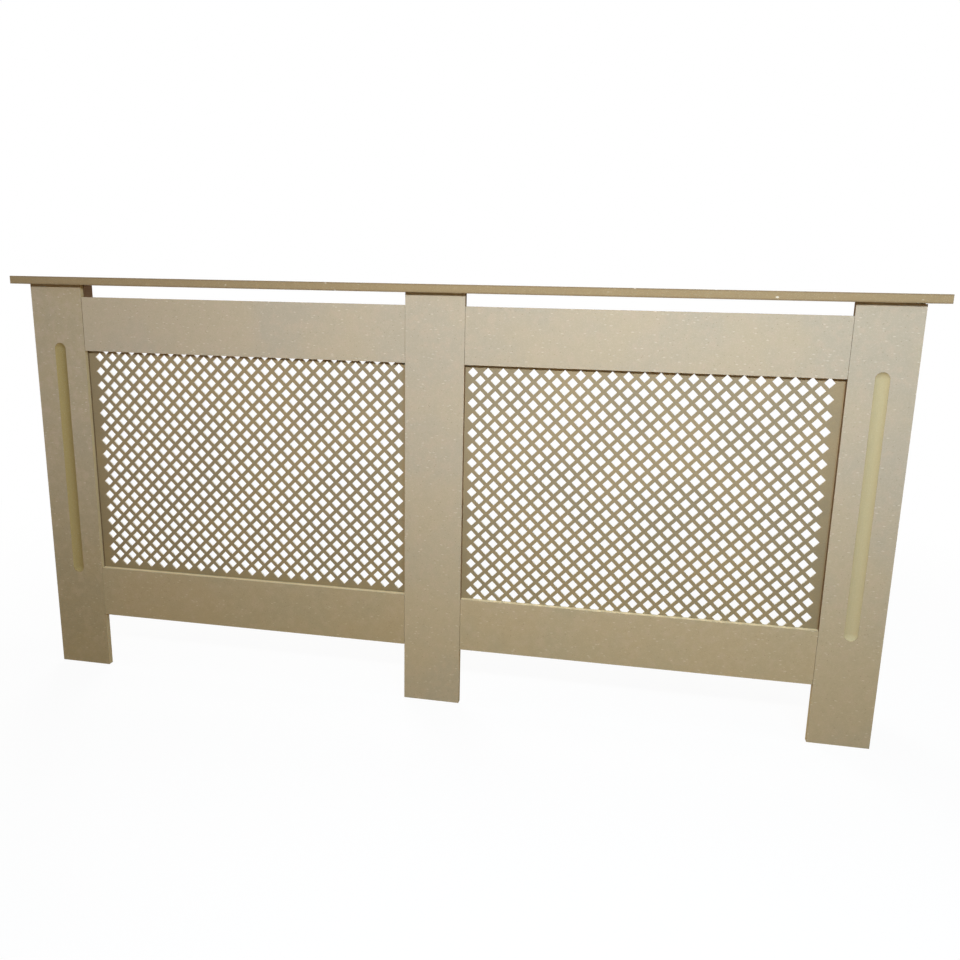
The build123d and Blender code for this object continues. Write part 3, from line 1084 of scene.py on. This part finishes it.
def bracketModel():
    # a strip folded to an angle, its ends rounded, drilled in both legs
    b = brackets
    t = b["thickness"]
    piece = addBlock("bracket", (0, 0, -b["half"]), (t, t, b["half"]))
    editing(piece)
    pick(piece, lambda face: face.normal.x > squareOn)
    pull(b["wallLeg"] - t, 0, 0)
    pick(piece, lambda face: face.normal.y > squareOn and face.calc_center_median().x < t)
    pull(0, b["sideLeg"] - t, 0)

    def ofFold(edge, at):
        return all(abs(v.co.x - at) < near and abs(v.co.y - at) < near for v in edge.verts)

    def ofEnd(edge):
        ends = [v.co for v in edge.verts]
        level = abs(ends[0].z - ends[1].z) < near and abs(ends[0].z) > b["half"] - near
        far = all(c.x > b["wallLeg"] - near for c in ends) or all(c.y > b["sideLeg"] - near for c in ends)
        return level and far

    for at, radius in ((0, t + b["bend"]), (t, b["bend"])):
        pick(piece, lambda edge: ofFold(edge, at), edges=True)
        bevelPicked(radius, b["roundSegments"])
    pick(piece, ofEnd, edges=True)
    bevelPicked(b["corner"], b["roundSegments"])
    finished(piece)
    wallPlace, wallRadius = b["wallHole"]
    sidePlace, sideRadius = b["sideHole"]
    cut(piece, [
        addRod("drill", wallRadius, 4 * t, b["holeFacets"], (wallPlace, t / 2, 0), (pi / 2, 0, 0)),
        addRod("drill", sideRadius, 4 * t, b["holeFacets"], (t / 2, sidePlace, 0), (0, pi / 2, 0)),
    ])
    return smoothed(eased(piece, b["ease"], 1))


bracketFrames = {
    name: onPanel(side, brackets["back"], brackets["height"], (0, -1, 0)) for name, side in sides.items()
}
for name, place in bracketFrames.items():
    made = copiesAt(name + "WallBracket", bracketModel(), [place])
    dressed(made, [name + "_wall_bracket"], [zinc])
bracketSeat = ((brackets["thickness"], brackets["sideHole"][0], 0), (1, 0, 0))
made = copiesAt("bracketScrews", screwModel("bracket"), seatedOn(bracketFrames.values(), [bracketSeat]))
dressed(made, ["bracket_screws"], [zinc])
print("brackets made")


staples = {
    "crown": 10 * mm,
    "leg": 8 * mm,
    "width": 1.2 * mm,
    "thickness": 0.8 * mm,
    "bend": 0.6 * mm,
    "bendSegments": 3,
    "pointShare": 0.25,  # of a leg's thickness, left at its point
    "ease": 0.12 * mm,
    "rows": 242 * mm,  # from the sheet's centre
    "rowSteps": (-233.3 * mm, 0, 233.3 * mm),
    "columns": 342 * mm,
    "columnSteps": (-125 * mm, 125 * mm),
    "back": -65 * mm,
}


def stapleModel():
    # a crown with two legs drawn down from its ends, bent round and cut to chisel points
    s = staples
    half, t, w = s["crown"] / 2, s["thickness"], s["width"] / 2
    piece = addBlock("staple", (-half, 0, -w), (t - half, t, w))
    editing(piece)
    for step in (s["crown"] - 2 * t, t):
        pick(piece, lambda face: face.normal.x > squareOn)
        pull(step, 0, 0)
    pick(piece, lambda face: face.normal.y < -squareOn and abs(face.calc_center_median().x) > half - t)
    pull(0, -s["leg"], 0)

    def isPoint(face, way):
        middle = face.calc_center_median()
        return face.normal.y < -squareOn and middle.y < -t and way * middle.x > 0

    def isBend(edge):
        return all(abs(v.co.y - t) < near and abs(v.co.x) > half - near for v in edge.verts)

    for way in (-1, 1):
        pick(piece, lambda face: isPoint(face, way))
        bpy.ops.transform.resize(value=(s["pointShare"], 1, 1), center_override=(way * half, -s["leg"], 0))
    pick(piece, isBend, edges=True)
    bevelPicked(s["bend"], s["bendSegments"])
    finished(piece)
    return smoothed(eased(piece, s["ease"], 1))


for name, side in sides.items():
    s = staples
    middle = Vector((side * grilles["middleX"], s["back"], grilles["middleZ"][name]))
    level = [(x, z) for z in (-s["rows"], s["rows"]) for x in s["rowSteps"]]
    upright = [(x, z) for x in (-s["columns"], s["columns"]) for z in s["columnSteps"]]
    places = [
        placeFrom(middle + Vector((x, 0, z)), crown, (0, 1, 0))
        for spots, crown in ((level, (1, 0, 0)), (upright, (0, 0, 1)))
        for x, z in spots
    ]
    made = copiesAt(name + "GrilleStaples", stapleModel(), places)
    dressed(made, [name + "_grille_staples"], [wire])
print("staples made")


def dowelModel(length):
    # a rod with chamfered ends and shallow flutes for the glue
    piece = addRod("dowel", dowels["radius"], length, dowels["facets"])
    editing(piece)
    pick(piece, lambda edge: abs(abs(sum(v.co.z for v in edge.verts)) - length) < near, edges=True)
    bevelPicked(dowels["chamfer"], 1)
    pick(piece, lambda face: abs(face.normal.z) < 0.1 and face.index % 2 == 0)  # every other side
    inset, depth = dowels["groove"]
    bpy.ops.mesh.inset(thickness=inset, depth=depth, use_individual=True)
    return smoothed(finished(piece), 25)


alongX = [placeFrom(place, (0, 1, 0), (0, 0, 1)) for place in frameDowelPlaces]
made = copiesAt("frameDowels", dowelModel(dowels["frameLength"]), alongX)
dressed(made, ["frame_dowels"], [beech])
upright = [Matrix.Translation(place) for place in shelfDowelPlaces]
made = copiesAt("shelfDowels", dowelModel(dowels["shelfLength"]), upright)
dressed(made, ["shelf_dowels"], [beechUpright])
print("dowels made")


studio = {
    "floorSize": 60.0,
    "floorTop": -0.2 * mm,
    "floorTone": (0.36, 0.22, 0.08, 1.0),  # what the floor throws back on to the cabinet
    "floorSeen": (0.9, 0.9, 0.9, 1.0),
    "floorShadow": 0.07,  # share of the floor's own light that the camera sees close to the cabinet
    "shadowReach": (0.9, 2.2),
    "worldLight": 0.12,
    "white": (1, 1, 1, 1),
}
lamps = {
    "key": {"power": 27.0, "size": 0.12, "place": (0.4, -1.65, 1.34), "aim": (0.2, -0.08, 1.0)},
    "cool": {"power": 9.8, "size": 0.3, "place": (1.0, -1.6, 1.34), "aim": (0.2, -0.08, 0.5)},
    "back": {"power": 60.0, "size": 1.6, "place": (-1.5, 2.6, 1.3), "aim": (0.0, 0.0, 0.4)},
    "left": {"power": 8.0, "size": 0.8, "place": (-2.4, -0.35, 1.1), "aim": (-0.8, 0.0, 0.4)},
    "right": {"power": 10.0, "size": 0.8, "place": (2.4, -0.35, 1.1), "aim": (0.8, 0.0, 0.4)},
    "top": {"power": 14.0, "size": 1.2, "place": (0.2, 0.5, 2.6), "aim": (0.0, 0.3, 0.8)},
}
lampTints = {"cool": (0.3, 0.65, 1.0)}  # the others are white
camera = {
    "place": (0.374748, -1.593685, 0.796428),
    "turn": (77.6379, -1.2351, 10.9231),
    "lens": 31.534,
    "sensor": 36.0,
    "clip": (0.01, 200.0),
}

bpy.ops.mesh.primitive_plane_add(size=studio["floorSize"], location=(0, 0, studio["floorTop"]))
floor = added("studioFloor")


def seenRay(recipe):
    # 1 for the rays that show the background: camera, glossy and see-through
    names = ("Is Camera Ray", "Is Glossy Ray", "Is Transmission Ray")
    flags = [recipe.node("ShaderNodeLightPath", {}, {}, name) for name in names]
    return flags[0].calc("MAXIMUM", flags[0], flags[1].calc("MAXIMUM", flags[1], flags[2]))


# the floor glows white where the camera sees it, but for a soft shadow close to the cabinet
floorWhite = Recipe("floorWhite")
seen = seenRay(floorWhite)
floorWhite.finish(floorWhite.tint(seen, studio["floorTone"], studio["floorSeen"]), 0.9, 0.1)
glow = floorWhite.node("ShaderNodeEmission", {}, {"Color": studio["white"], "Strength": 1.0})
distance = floorWhite.node("ShaderNodeVectorMath", {"operation": "LENGTH"}, {0: floorWhite.place}, "Value")
lit = 1 - distance.ramp(*studio["shadowReach"])
surface = Wire(floorWhite, floorWhite.shader.outputs[0])
values = {0: seen * (1 - lit * studio["floorShadow"]), 1: surface, 2: glow}
mixed = floorWhite.node("ShaderNodeMixShader", {}, values)
floorWhite.feed(floorWhite.tree.nodes["Material Output"].inputs["Surface"], mixed)
floor.data.materials.append(floorWhite.material)

world = bpy.data.worlds.new("studioWorld")
bpy.context.scene.world = world
world.use_nodes = True


class AirRecipe(Recipe):
    # the same nodes in the world's own tree
    def __init__(self, tree):
        self.tree = tree


# white to the camera at full strength, faint as a light
air = AirRecipe(world.node_tree)
strength = air.node("ShaderNodeMix", {}, {0: seenRay(air), 2: studio["worldLight"], 3: 1.0})
background = world.node_tree.nodes["Background"]
air.feed(background.inputs["Color"], studio["white"])
air.feed(background.inputs["Strength"], strength)


def addLamp(name, power, size, place, aim):
    bpy.ops.object.light_add(type="AREA", location=place)
    lamp = bpy.context.object
    lamp.name = name + "Lamp"
    lamp.data.energy = power
    lamp.data.size = size
    lamp.data.color = lampTints.get(name, studio["white"][:3])
    lamp.rotation_euler = (Vector(aim) - Vector(place)).to_track_quat("-Z", "Y").to_euler()


for name, settings in lamps.items():
    addLamp(name, **settings)

bpy.ops.object.camera_add(location=camera["place"], rotation=[radians(a) for a in camera["turn"]])
eye = bpy.context.object
eye.name = "photoCamera"
eye.data.lens = camera["lens"]
eye.data.sensor_width = camera["sensor"]
eye.data.clip_start, eye.data.clip_end = camera["clip"]
bpy.context.scene.camera = eye
bpy.context.scene.view_settings.view_transform = "Standard"
print("studio ready")
